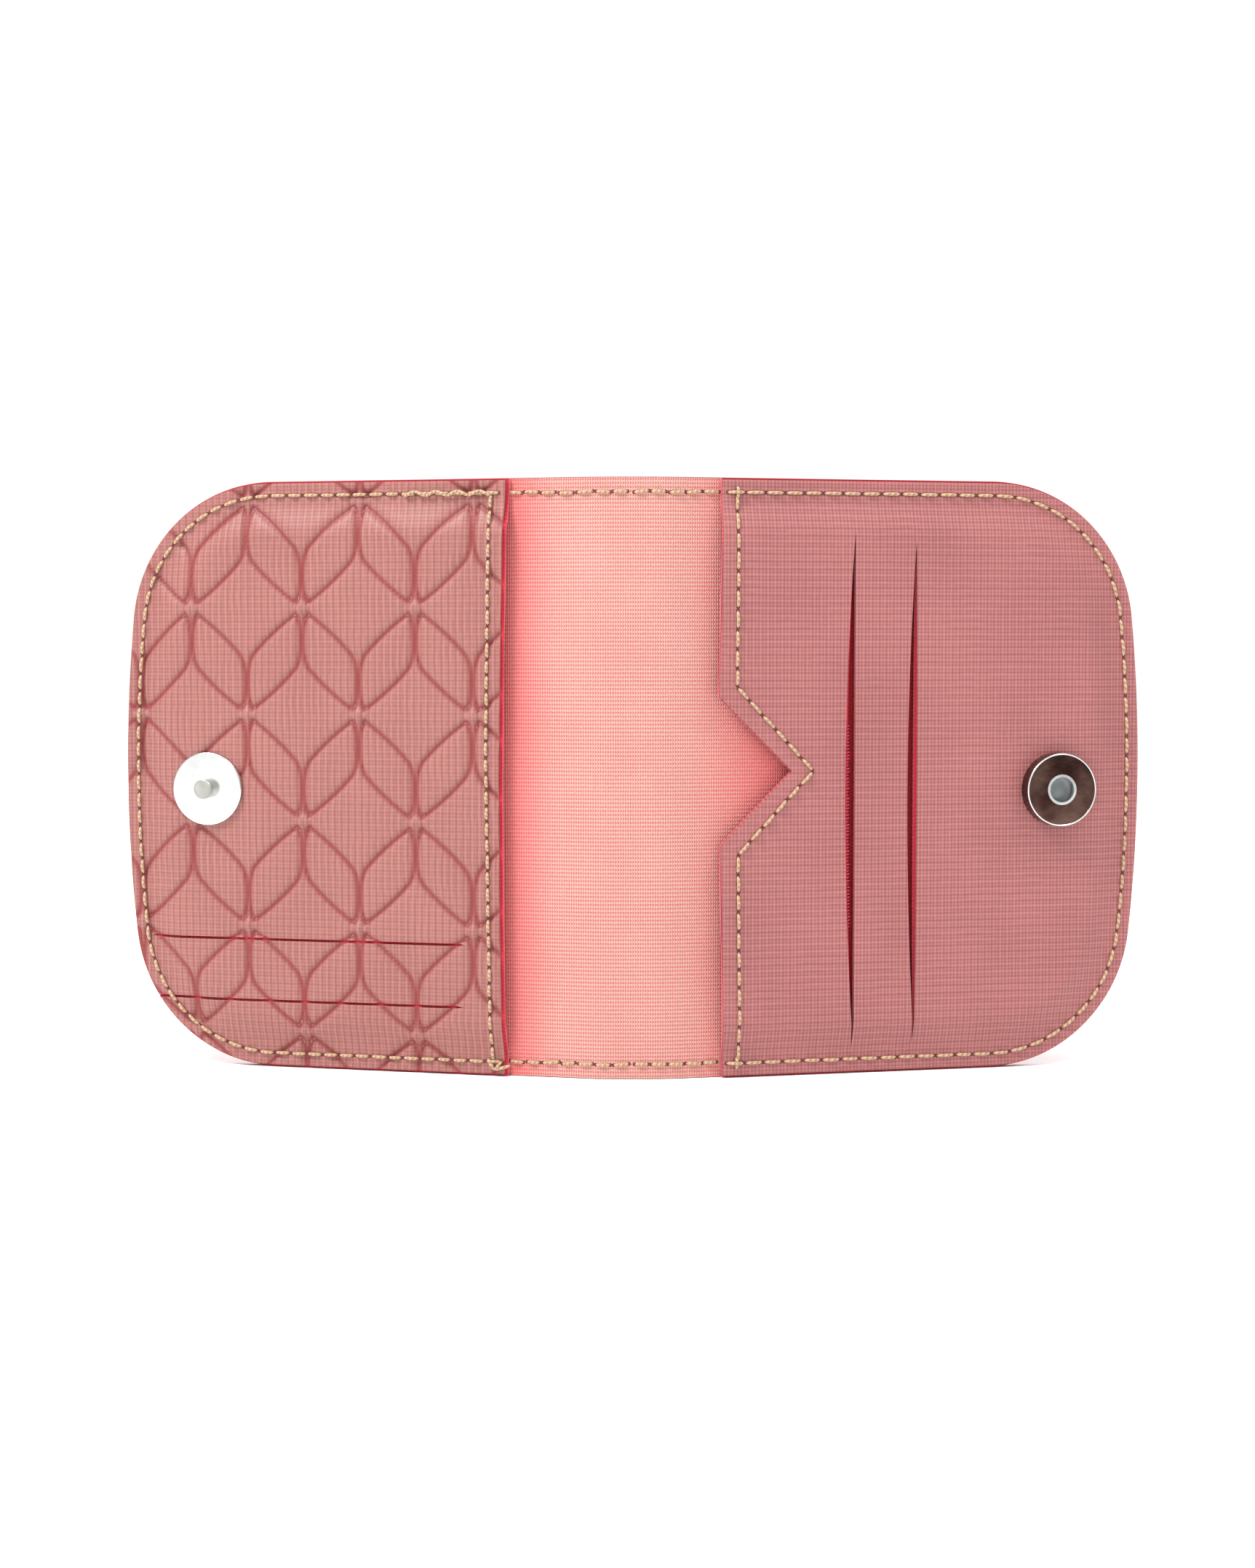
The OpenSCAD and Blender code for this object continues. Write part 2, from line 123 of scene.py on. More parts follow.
def smooth(t):
    """0 below 0, 1 above 1, and an S between them."""
    t = np.clip(t, 0, 1)
    return t * t * (3 - 2 * t)


def edge(v, inset):
    """Where the outline, drawn in by inset, is at height v."""
    v = np.asarray(v, float)
    low = np.minimum(v, HEIGHT - v)
    r = CORNER_R - inset
    corner = corner_s + np.sqrt(np.clip(r * r - (CORNER_R - low) ** 2, 0, None))
    bow = bow_s + np.sqrt((BOW_R - inset) ** 2 - (v - HEIGHT / 2) ** 2)
    return np.where(low < CORNER_R - r * math.sin(corner_a), corner, bow)


def depth_in(s, v):
    """How far a point lies inside the outline."""
    low = np.minimum(v, HEIGHT - v)
    round_corner = CORNER_R - np.hypot(s - corner_s, CORNER_R - low)
    corner = np.where((s > corner_s) & (low < CORNER_R), round_corner, low)
    return np.minimum(corner, BOW_R - np.hypot(s - bow_s, v - HEIGHT / 2))


def pocket_lift(s, v):
    """How far the flat of a pocket stands off the cover."""
    return POCKET_RISE * smooth((depth_in(s, v) - SLOPE_FOOT) / SLOPE_W)


print("outline at mid height:", float(edge(HEIGHT / 2, 0)), "mm")

# %% [markdown]
# ## One sheet that bends
# The real wallet isn't hinged: one sheet bends beside the spine. A table of the bent line gives
# the place of any point of any layer, so that cover, lining and thread all share the same bend.

# %% Bend a flat point to its place
RUN_END, RUN_STEP = 110, 0.1
bend_tables = {}
for side, degrees in LEAN.items():
    lean = math.radians(degrees)
    run = np.arange(0, RUN_END, RUN_STEP)
    turned = smooth((run - FOLD + BEND_W) / (2 * BEND_W))
    angle = lean * turned
    x = np.concatenate([[0], np.cumsum(np.cos(angle[:-1]) * RUN_STEP)])
    y = np.concatenate([[0], np.cumsum(np.sin(angle[:-1]) * RUN_STEP)])
    # The round bend cuts the corner of the hinge, so the half is eased out to where the hinge has it
    past = int(np.argmax(run > FOLD + BEND_W))
    x += turned * (FOLD + (run[past] - FOLD) * math.cos(lean) - x[past])
    y += turned * ((run[past] - FOLD) * math.sin(lean) - y[past])
    bend_tables[side] = (run, x, y, angle)


def bent(side, s, v, depth):
    """Points in metres from places on the flat sheet."""
    run, x, y, angle = bend_tables[side]
    s, v, depth = np.broadcast_arrays(np.asarray(s, float), v, depth)
    a = np.interp(s, run, angle)
    px = np.interp(s, run, x) + depth * np.sin(a)
    py = np.interp(s, run, y) - depth * np.cos(a)
    return np.stack([side * px, py, v], -1) * MM


def inward(side, s):
    """The direction out of the inside face at s."""
    a = np.interp(s, bend_tables[side][0], bend_tables[side][3])
    return np.stack([side * np.sin(a), -np.cos(a), 0 * a], -1)


print("the right outer end at rest:", bent(1, HALF_WIDTH, HEIGHT / 2, 0))

# %% [markdown]
# ## Shader maths as Python
# A material is a sum of small steps. This class wraps a socket, so that `1 - mask * 0.5` adds the
# two Math nodes it needs. `node` adds any other kind of node.

# %% Wrap a shader socket
class Field:
    def __init__(self, tree, socket):
        self.tree, self.socket = tree, socket

    def node(self, kind, settings=None, inputs=None, out=0):
        """A new node beside this one. inputs: fields to link to its sockets, or plain values."""
        n = self.tree.nodes.new(kind)
        for key, value in (settings or {}).items():
            setattr(n, key, value)
        for key, value in (inputs or {}).items():
            if isinstance(value, Field):
                self.tree.links.new(value.socket, n.inputs[key])
            else:
                n.inputs[key].default_value = value
        return Field(self.tree, n.outputs[out])

    def maths(self, operation, *values):
        return self.node("ShaderNodeMath", {"operation": operation}, dict(enumerate(values)))

    def __add__(self, other):
        return self.maths("ADD", self, other)

    def __sub__(self, other):
        return self.maths("SUBTRACT", self, other)

    def __mul__(self, other):
        return self.maths("MULTIPLY", self, other)

    def __rsub__(self, other):
        return self.maths("SUBTRACT", other, self)

    __radd__, __rmul__ = __add__, __mul__

    def across_and_up(self):
        """The first two parts of a place, each as a field."""
        across = self.node("ShaderNodeSeparateXYZ", None, {0: self})
        return across, Field(self.tree, across.socket.node.outputs[1])

    def sine(self):
        return self.maths("SINE", self)

    def step(self, low, high):
        """0 below low, 1 above high, smooth between."""
        return self.node("ShaderNodeMapRange", {"interpolation_type": "SMOOTHSTEP"},
                         {"Value": self, "From Min": low, "From Max": high})

    def noise(self, scale, detail=2.0):
        """Noise at this place, about 0.5 on average."""
        return self.node("ShaderNodeTexNoise", None, {"Vector": self, "Scale": scale, "Detail": detail})

    def mix(self, a, b):
        """Colour a where this is 0, b where it is 1."""
        def rgba(c):
            return c if isinstance(c, Field) else (*c, 1)
        return self.node("ShaderNodeMix", {"data_type": "RGBA"}, {0: self, 6: rgba(a), 7: rgba(b)}, 2)


def srgb(r, g, b):
    """A linear colour from screen values of 0 to 255."""
    return tuple((c / 255 / 12.92) if c / 255 < 0.04045 else ((c / 255 + 0.055) / 1.055) ** 2.4
                 for c in (r, g, b))


def start_material(name, **fixed):
    """A material with these fixed sockets, with its shader and the places on it."""
    m = bpy.data.materials.new(name)
    m.use_nodes = True
    shader = m.node_tree.nodes["Principled BSDF"]
    for key, value in fixed.items():
        shader.inputs[key.replace("_", " ")].default_value = value
    place = m.node_tree.nodes.new("ShaderNodeTexCoord")
    return m, shader, Field(m.node_tree, place.outputs["UV"]), Field(m.node_tree, place.outputs["Object"])


def connect(shader, **fields):
    """Field names are the shader's sockets, with an underscore for a space."""
    for key, field in fields.items():
        field.tree.links.new(field.socket, shader.inputs[key.replace("_", " ")])


def bump(height, distance):
    """The direction of a surface that this height roughens by up to this distance, in metres."""
    return height.node("ShaderNodeBump", None, {"Height": height, "Distance": distance, "Strength": 1.0})


print("shader class ready")

# %% [markdown]
# ## Coated vinyl
# The vinyl has a fine square grain, pressed in by the rollers that made it. It is satin and slightly
# mottled, and painted shade darkens its colour along the grooves of the embossing. UVs are in
# centimetres on the flat sheet, so the grain bends with the sheet.

# %% Make the vinyls
GRAIN_CM = 0.069
# Streaks in the grain, as a share of its own number of lines per centimetre
UPRIGHT_STREAKS, LEVEL_STREAKS = 0.52, 0.44


def vinyl(name, light, dark, groove, grain_depth, beat):
    """beat: how strongly the upright and the level streaks show. groove: the colour of painted shade in
    the grooves.
    """
    m, shader, uv, _ = start_material(name, Specular_IOR_Level=0.42)
    across, up = uv.across_and_up()
    turns = 2 * math.pi / GRAIN_CM
    columns = (across * turns).sine() * 0.5 + 0.5
    rows = (up * turns).sine() * 0.5 + 0.5
    mottle = uv.noise(0.55, 3.0)
    fine = uv.noise(60.0, 2.0)
    patch = uv.noise(1.6, 2.0)
    upright = (across * (turns * UPRIGHT_STREAKS) + patch * 5.0).sine() * patch
    level = (up * (turns * LEVEL_STREAKS) + patch * 4.0).sine() * (patch * -1.0 + 1.0)
    grain = columns * 0.45 + rows * 0.4 + upright * beat[0] + level * beat[1]
    colour = (grain * 0.7 + mottle * 0.3).step(0.1, 0.85).mix(dark, light)
    # Painted shade: along the grooves of the embossing the colour turns towards the groove colour
    groove_shade = uv.node("ShaderNodeAttribute", {"attribute_name": "groove"}, None, 2)
    colour = groove_shade.step(0.05, 1.0).mix(colour, groove)
    connect(shader, Base_Color=colour, Roughness=mottle * 0.12 + fine * 0.08 + 0.40,
            Normal=bump(grain * grain_depth + fine * 0.25, 0.00006))
    return m


# The colour that painted shade gives the grooves of the embossing
GROOVE_SHADE_COLOUR = srgb(126, 42, 42)
embossed_vinyl = vinyl("embossed vinyl", srgb(163, 108, 100), srgb(134, 80, 77), GROOVE_SHADE_COLOUR, 0.6, (0.42, 0.15))
grid_vinyl = vinyl("grid vinyl", srgb(176, 111, 108), srgb(132, 76, 77), GROOVE_SHADE_COLOUR, 1.0, (0.12, 0.2))
cover_vinyl = vinyl("cover vinyl", srgb(168, 108, 104), srgb(144, 84, 84), GROOVE_SHADE_COLOUR, 0.8, (0.3, 0.3))
print("vinyls:", embossed_vinyl.name, grid_vinyl.name, cover_vinyl.name)

# %% [markdown]
# ## Woven backing
# Rows of small stitches, bright peach, that turn coral where the pockets shade them.

# %% Make the cloths
ROW_CM, LOOP_CM = 0.073, 0.046


def cloth(name, thread, gap, shaded, left=(90.0, 91.0), right=(90.0, 91.0)):
    """left and right: how far from the middle, in cm, the shade of a pocket begins and is full."""
    m, shader, uv, _ = start_material(name, Roughness=0.85, Sheen_Weight=0.25)
    across, up = uv.across_and_up()
    row = (up * (2 * math.pi / ROW_CM)).sine()
    loop = (across * (2 * math.pi / LOOP_CM) + row * 0.8).sine()
    weave = row * 0.20 + loop * 0.26 + 0.5
    fuzz = uv.noise(40.0, 3.0)
    cloud = uv.noise(0.7, 2.0)
    colour = (weave * 0.7 + fuzz * 0.45 + cloud * 0.12).step(0.30, 0.95).mix(gap, thread)
    near_pocket = (across * -1.0).step(*left) + across.step(*right)
    colour = (near_pocket * (0.75 - weave * 0.25)).mix(colour, shaded)
    connect(shader, Base_Color=colour, Normal=bump(weave + fuzz * 0.4, 0.00016))
    return m


lining_cloth = cloth("lining cloth", srgb(208, 168, 158), srgb(184, 92, 84), srgb(205, 62, 72),
                     (1.2, 2.45), (0.8, 2.9))
backing_cloth = cloth("backing cloth", srgb(206, 32, 58), srgb(166, 8, 30), srgb(184, 18, 42))
divider_cloth = cloth("divider cloth", srgb(180, 10, 26), srgb(136, 4, 14), srgb(156, 8, 20))
cut_edge = cloth("cut edge", srgb(214, 84, 106), srgb(196, 54, 82), srgb(200, 60, 84))
print("cloths:", lining_cloth.name, backing_cloth.name, divider_cloth.name, cut_edge.name)

# %% [markdown]
# ## Thread and metal
# The thread's slanting light and dark, where its two strands twist, is painted shade and highlight
# in its colour. Plate is smooth, with cloudy patches of a second tint, and a little uneven in its shine.

# %% Make the thread, the needle holes and the comb
def twisted(name):
    """The first part of its UV runs along a stitch, the second round the thread."""
    m, shader, uv, _ = start_material(name, Roughness=0.55, Sheen_Weight=0.3)
    along, around = uv.across_and_up()
    twist = ((along * 3.0 + around) * (2 * math.pi)).sine() * 0.5 + 0.5
    # Painted shade and highlight: the colour goes from dark to light round each twist of the strands
    connect(shader, Base_Color=twist.mix(srgb(150, 116, 84), srgb(194, 164, 128)),
            Normal=bump(twist, 0.000012))
    return m


def speckled(name, roughness, scale, dark, light, contrast=None):
    """Two colours in specks. contrast: where the noise turns from dark to light, or None for soft."""
    m, shader, _, place = start_material(name, Roughness=roughness)
    specks = place.noise(scale)
    if contrast:
        specks = specks.step(*contrast)
    connect(shader, Base_Color=specks.mix(dark, light))
    return m


thread_material = twisted("thread")
# Painted shade: the dark discs on the needle holes stand for the shade inside them
hole_shade_material = speckled("needle hole", 0.9, 3000.0, srgb(72, 24, 22), srgb(112, 52, 46))
comb_material = speckled("comb of cut threads", 0.8, 2500.0, srgb(150, 24, 44), srgb(206, 62, 84))
print("small things:", thread_material.name, hole_shade_material.name, comb_material.name)


# %% Make the metals
def plate(name, colour, tint, roughness):
    m, shader, _, place = start_material(name, Metallic=1.0)
    worn = place.noise(900.0, 4.0)
    cloud = place.noise(160.0, 2.0)
    connect(shader, Base_Color=cloud.step(0.3, 0.7).mix(colour, tint), Roughness=worn * 0.16 + roughness,
            Normal=bump(worn, 0.00001))
    return m


bright_plate = plate("bright plate", srgb(226, 228, 226), srgb(206, 208, 206), 0.14)
dark_plate = plate("dark plate", srgb(104, 80, 72), srgb(58, 36, 32), 0.05)
struck_plate = plate("struck plate", srgb(188, 188, 182), srgb(120, 120, 114), 0.35)
core_steel = plate("core steel", srgb(150, 156, 158), srgb(110, 116, 118), 0.3)
steel = plate("steel", srgb(150, 152, 154), srgb(120, 122, 124), 0.35)
magnet_material = plate("magnet", srgb(60, 60, 64), srgb(44, 44, 48), 0.6)
print("metals ready")

# %% [markdown]
# ## A sheet on a grid
# Every soft piece is a grid of points on the flat sheet, with an inner and an outer face and walls
# round its edges. Slits are cut along lines of the grid: the points there are doubled, and the two
# rows pulled apart.

# %% Build a sheet from a grid
SHARP_FROM = 50
# Rows follow the round corners a little more loosely than the pitch
CORNER_PITCH = 1.3


def grid_rows(inset, pitch, extra=()):
    """Heights of the rows: evenly round the corners, evenly between them, and at the extra heights."""
    r = CORNER_R - inset
    turn = np.arange(0, math.pi / 2 - corner_a, CORNER_PITCH * pitch / r)
    low = CORNER_R - r * np.cos(turn)
    low[0] = inset
    middle = np.arange(low[-1] + pitch, HEIGHT / 2, pitch)
    v = np.concatenate([low, middle])
    v = np.concatenate([v, HEIGHT - v[::-1]])
    for e in extra:
        v[np.argmin(abs(v - e))] = e
    return v


def grid_columns(first, start, flat_to, v, inset, pitch, extra=()):
    """Places of the columns in each row: from first(v) to start, evenly to flat_to, then to the edge."""
    middle = np.arange(start, flat_to, pitch)
    for e in extra:
        middle[np.argmin(abs(middle - e))] = e
    near, far = first(v)[:, None], edge(v, inset)[:, None]
    t0 = np.linspace(0, 1, max(2, round((start - first(v).max()) / pitch) + 4))[None, :-1]
    t1 = np.linspace(0, 1, round((HALF_WIDTH - flat_to) / pitch))[None]
    return np.concatenate([near + (start - near) * t0, np.repeat(middle[None], len(v), 0),
                           flat_to + (far - flat_to) * t1], 1)


def build_sheet(name, side, s, v, top, bottom, cuts, material, groove_shades=(None, None), walls=None):
    """cuts: ('column' or 'row', grid line, first, last, shift of the near side, shift of the far side).
    grooves: painted shade, how far the colour is darkened along the embossing on the inner and on the
    outer face. walls: what the walls are made of, if not of the faces' material."""
    rows, columns = s.shape
    s, v = s.copy().ravel(), v.copy().ravel()
    ids = np.arange(rows * columns).reshape(rows, columns)
    quads = np.stack([ids[:-1, :-1], ids[:-1, 1:], ids[1:, 1:], ids[1:, :-1]], -1)
    parent = list(range(rows * columns))
    for kind, line, first, last, near, far in cuts:
        span = np.arange(first, last)
        doubled = np.arange(len(parent), len(parent) + len(span))
        old = ids[span, line] if kind == "column" else ids[line, span]
        parent += list(old)
        change = np.arange(len(parent))
        change[old] = doubled
        if kind == "column":
            quads[:, line] = change[quads[:, line]]
            s = np.concatenate([s, s[old] + far[span]])
            v = np.concatenate([v, v[old]])
            s[old] += near[span]
        else:
            quads[line] = change[quads[line]]
            s = np.concatenate([s, s[old]])
            v = np.concatenate([v, v[old] + far[span]])
            v[old] += near[span]
    quads = quads.reshape(-1, 4)
    parent = np.array(parent)
    n = len(parent)
    points = np.concatenate([bent(side, s, v, face.ravel()[parent]) for face in (top, bottom)])
    a, b = quads.ravel(), np.roll(quads, -1, 1).ravel()
    lone = ~np.isin(a * n + b, b * n + a)
    a, b = a[lone], b[lone]
    faces = np.concatenate([quads, quads[:, ::-1] + n, np.stack([b, a, a + n, b + n], -1)])
    if side < 0:
        faces = faces[:, ::-1]
    mesh = bpy.data.meshes.new(name)
    mesh.from_pydata(points.tolist(), [], faces.tolist())
    uv = mesh.uv_layers.new(name="UVMap")
    corner_points = faces.ravel() % n
    uv.data.foreach_set("uv", (np.stack([side * s[corner_points], v[corner_points]], -1) / 10).ravel())
    # Painted shade along the grooves, stored for the vinyl to darken its colour
    dark = np.concatenate([np.zeros(n) if face is None else face.ravel()[parent] for face in groove_shades])
    mesh.attributes.new("groove", "FLOAT", "POINT").data.foreach_set("value", dark.astype(np.float32))
    mesh.polygons.foreach_set("use_smooth", np.ones(len(faces), bool))
    mesh.set_sharp_from_angle(angle=math.radians(SHARP_FROM))
    mesh.materials.append(material)
    mesh.materials.append(walls or material)
    on_wall = np.arange(len(faces)) >= 2 * len(quads)
    mesh.polygons.foreach_set("material_index", on_wall.astype(np.int32))
    print(name, 2 * len(faces), "triangles")
    return add_object(name, mesh)


# %% [markdown]
# ## The embossing
# A common lattice of petals: a leaf joins each node to its four diagonal neighbours. An edge of a leaf
# starts nearly straight and rounds off at the other end, and the two edges are half a turn apart.
# A round bead sits where four leaves meet.

# %% Work out the embossing
LATTICE_S, LATTICE_V = 22.5, 40.4
LATTICE_AT = (52.0, 67.7)
LATTICE_COLUMNS, LATTICE_ROWS = range(-16, 17), range(-5, 5)
LEAF = np.array([(0.09, 0.05), (0.17, 0.08), (0.24, 0.105), (0.40, 0.175), (0.55, 0.248), (0.68, 0.315),
                 (0.80, 0.385), (0.89, 0.44), (0.945, 0.51), (0.972, 0.60), (0.980, 0.72), (0.965, 0.83),
                 (0.925, 0.92)])
LEAF_POINTS, LEAF_SMOOTHINGS = 240, 12
# Width and depth of a groove, of its shoulders and of the ring round a bead, and how much painted shade
# darkens each
GROOVE_W, GROOVE_DEEP, GROOVE_SHADE = 0.46, 0.42, 0.70
SHOULDER_W, SHOULDER_DEEP, SHOULDER_SHADE = 1.2, 0.23, 0.14
RING_R, RING_W, RING_DEEP, RING_SHADE = 1.9, 0.7, 0.14, 0.16
BEAD_W, BEAD_HIGH = 1.0, 0.34
# A groove fades out before it reaches a bead, and all fades to this share of its depth at the rim
GROOVE_STOPS, GROOVE_FADE = 0.9, 0.5
EDGE_SHARE, EDGE_W = 0.25, 3.0


def lattice():
    """The nodes of the lattice, and points close together along the edges of its leaves."""
    a, b = LATTICE_S / 2, LATTICE_V / 2
    fine = np.linspace(0, len(LEAF) - 1, LEAF_POINTS)
    edge_up = np.stack([np.interp(fine, np.arange(len(LEAF)), LEAF[:, k]) for k in (0, 1)], -1)
    for _ in range(LEAF_SMOOTHINGS):
        edge_up[1:-1] = (edge_up[:-2] + edge_up[2:] + 2 * edge_up[1:-1]) / 4
    leaf = np.concatenate([edge_up, 1 - edge_up]) * (a, b)
    nodes = np.array([(LATTICE_AT[0] + a * i, LATTICE_AT[1] + b * j)
                      for i in LATTICE_COLUMNS for j in LATTICE_ROWS if (i + j) % 2 == 0])
    curves = np.concatenate([node + leaf * (mirror, 1) for node in nodes for mirror in (-1, 1)])
    return nodes, curves


def finder(points):
    """A tree that finds the nearest of these points."""
    tree = KDTree(len(points))
    for k, p in enumerate(points):
        tree.insert((*p, 0), k)
    tree.balance()
    return tree


lattice_nodes, lattice_curves = lattice()
node_finder, curve_finder = finder(lattice_nodes), finder(lattice_curves)


def emboss(s, v, way=1):
    """How deep the embossing is, in mm, and how far painted shade darkens it, from 0 to 1, in the
    grooves, on their shoulders and in a ring round each bead. With way = side the lattice runs on
    across the spine, as on the cover, which is one sheet."""
    flat = np.stack([way * s.ravel(), v.ravel(), 0 * s.ravel()], -1)
    line = np.array([curve_finder.find(p)[2] for p in flat]).reshape(s.shape)
    node = np.array([node_finder.find(p)[2] for p in flat]).reshape(s.shape)
    groove = np.exp(-((line / GROOVE_W) ** 2)) * smooth((node - GROOVE_STOPS) / GROOVE_FADE)
    shoulder = np.exp(-((line / SHOULDER_W) ** 2))
    ring = np.exp(-(((node - RING_R) / RING_W) ** 2))
    bead = np.exp(-((node / BEAD_W) ** 2))
    deep = GROOVE_DEEP * groove + SHOULDER_DEEP * shoulder + RING_DEEP * ring - BEAD_HIGH * bead
    share = EDGE_SHARE + (1 - EDGE_SHARE) * smooth(depth_in(s, v) / EDGE_W)
    # The second value is painted shade, darkest in the grooves
    return deep * share, GROOVE_SHADE * groove + SHOULDER_SHADE * shoulder + RING_SHADE * ring


print("lattice:", len(lattice_nodes), "nodes,", len(lattice_curves), "points on curves")

# %% [markdown]
# ## The cover and its lining
# Each half of the cover is one sheet from the middle of the spine to the outer end. It follows the
# spine before the fold and the half after it, so it bends instead of breaking. The vinyl is outside,
# the cloth inside, and they meet at MEETING.

# %% Make the cover and the lining
FOLD_REACH = 3.5
MEETING = 0.1
THINNEST = 0.15
COVER_PITCH, LINING_PITCH = 0.55, 1.0
CLOTH_INSET = 0.15
# Between these places the columns of a grid are upright and evenly apart
EVEN_FROM, EVEN_TO = 2.0, corner_s - 8


def bend_at_fold(piece, side):
    side * (FOLD - FOLD_REACH) * MM
    side * (FOLD + FOLD_REACH) * MM
    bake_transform(piece)


def declare_cloth(s, v):
    """Works out the area that a sheet of cloth was cut to; the result is not kept."""
    wide = s[:, -1] - s[:, 0]
    area = float(((wide[1:] + wide[:-1]) / 2 * np.diff(v[:, 0])).sum()) * MM * MM


def half_grid(inset, pitch):
    """The grid of one half, from the middle of the spine to the outer end."""
    v = grid_rows(inset, pitch)
    s = grid_columns(lambda heights: 0 * heights, EVEN_FROM, EVEN_TO, v, inset, pitch)
    return s, np.repeat(v[:, None], s.shape[1], 1)


for side, name in SIDE_NAME.items():
    s, v = half_grid(0.0, COVER_PITCH)
    # dark: painted shade along the grooves of the cover's outer face
    deep, dark = emboss(s, v, side)
    cover = build_sheet(f"cover_skin_{name}", side, s, v, np.full(s.shape, MEETING),
                        np.minimum(-SHEET_FACE + deep, -THINNEST), [], cover_vinyl, (None, dark))
    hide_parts(f"cover_{name}", "cover_spine")
    bend_at_fold(cover, side)
    s, v = half_grid(CLOTH_INSET, LINING_PITCH)
    lining = build_sheet(f"lining_{name}_cloth", side, s, v, np.full(s.shape, SHEET_FACE),
                         np.full(s.shape, MEETING), [], lining_cloth, walls=cut_edge)
    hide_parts(f"lining_{name}", "lining_spine")
    bend_at_fold(lining, side)
    declare_cloth(s, v)

# %% [markdown]
# ## The pockets
# Each pocket is a skin and a woven backing, with a thin divider behind it. The mouths aren't quite
# straight, and the slits open like long lenses. The backing is cut a little wider than the skin,
# so that a bright edge of cloth shows beside each cut.

# %% Say where the mouths and the slits are
# The mouths as heights, and how far from the middle they are there. The right one has the notch
LEFT_MOUTH = ((0, 30, 56, 85, 112), (23.9, 24.3, 24.4, 24.0, 23.4))
RIGHT_MOUTH = ((0, 43.7, 57.5, 71.3, 112), (17.0, 16.1, 29.8, 15.9, 16.8))
# Place, lower and upper end, gape, and how far its middle sways, minus towards the mouth
UPRIGHT_SLITS = ((42.0, 5.0, 101.8, 2.0, -0.8), (54.0, 5.6, 100.2, 2.0, -0.6))
# Height, inner and outer end, and gape. The lower one runs out under the seam, past the sheet's end
CROSS_SLITS = ((24.8, 31.0, 95.2, 0.50), (13.0, 31.2, 200.0, 0.50))
# How far beside an upright slit the sheet is still pushed aside, and how fast a crosswise one opens
PUSH_REACH, CROSS_TAPER = 3.0, 40
LEAST_HALF_GAPE = 0.04
GAPE_POWER = 0.8
POCKET_EVEN_FROM = {-1: 28.0, 1: 36.0}


def mouth(side, shift=0.0):
    """The mouth as a function of the height, moved towards the spine by shift."""
    table = LEFT_MOUTH if side < 0 else RIGHT_MOUTH
    return lambda v: np.interp(v, *table) - shift


def open_share(v, first, last):
    """How far an upright slit is open at height v, as a share of its gape."""
    return np.sin(math.pi * np.clip((v - first) / (last - first), 0, 1)) ** GAPE_POWER


def cut_across(s, v, shows):
    """The cuts for the crosswise slits of the left pocket."""
    cuts = []
    for at, first, last, gape in CROSS_SLITS:
        line = int(np.argmin(abs(v - at)))
        inside = np.where((s[line] > first) & (s[line] < last))[0]
        along = (s[line] - first) / (min(last, HALF_WIDTH) - first)
        half = max(gape / 2 - shows, LEAST_HALF_GAPE) * smooth(along * CROSS_TAPER)
        if last < HALF_WIDTH:
            half = half * smooth((1 - along) * CROSS_TAPER)
        cuts.append(("row", line, inside[0], inside[-1] + 1, -half, half))
    return cuts


def cut_upright(s, v, shows):
    """Push the columns of s aside at the upright slits of the right pocket, and give the cuts."""
    cuts = []
    for number, (at, first, last, gape, sway) in enumerate(UPRIGHT_SLITS):
        near_in, far_in = shows * (1 - number), shows * number
        line = int(np.argmin(abs(s[len(v) // 2] - at)))
        inside = np.where((v > first) & (v < last))[0]
        open_by = open_share(v, first, last)
        for i in range(s.shape[1]):
            if i != line:
                fall = np.exp(-np.abs(s[:, i] - at) / PUSH_REACH)
                s[:, i] += (sway + np.sign(i - line) * gape / 2) * open_by * fall
        cuts.append(("column", line, inside[0], inside[-1] + 1,
                     (sway - gape / 2 + near_in) * open_by, (sway + gape / 2 - far_in) * open_by))
    return cuts


def pocket_grid(side, inset, pitch, shift, shows=0.0):
    """The grid of a pocket layer with its slits: places, and cuts for build_sheet. shows: how far this
    layer stands into the first upright slit from the near side, into the second from the far side, and
    into the crosswise ones from both."""
    slit_v = [slit[0] for slit in CROSS_SLITS] if side < 0 else RIGHT_MOUTH[0][1:4]
    slit_s = [] if side < 0 else [slit[0] for slit in UPRIGHT_SLITS]
    v = grid_rows(inset, pitch, slit_v)
    s = grid_columns(mouth(side, shift), POCKET_EVEN_FROM[side], EVEN_TO, v, inset, pitch, slit_s)
    cuts = (cut_across if side < 0 else cut_upright)(s, v, shows)
    return s, np.repeat(v[:, None], s.shape[1], 1), cuts


# %% Make the pocket layers
SKIN_PITCH, BACKING_PITCH, DIVIDER_PITCH = 0.45, 0.9, 1.8
PANEL_VINYL = {-1: embossed_vinyl, 1: grid_vinyl}
# How far the backing shows at the mouth and in a slit, and how far behind the mouth the divider starts
MOUTH_SHOWS, SLIT_SHOWS = {-1: 0.6, 1: 0.1}, 0.6
DIVIDER_BACK = 0.5
DIVIDER_FACES = (0.89, 0.61)
# Behind the mouth the divider drops from under the panel towards the lining
DIVIDER_DROP, DROP_FROM, DROP_W = 0.62, 6, 6
LAYER_CLEAR = 0.01

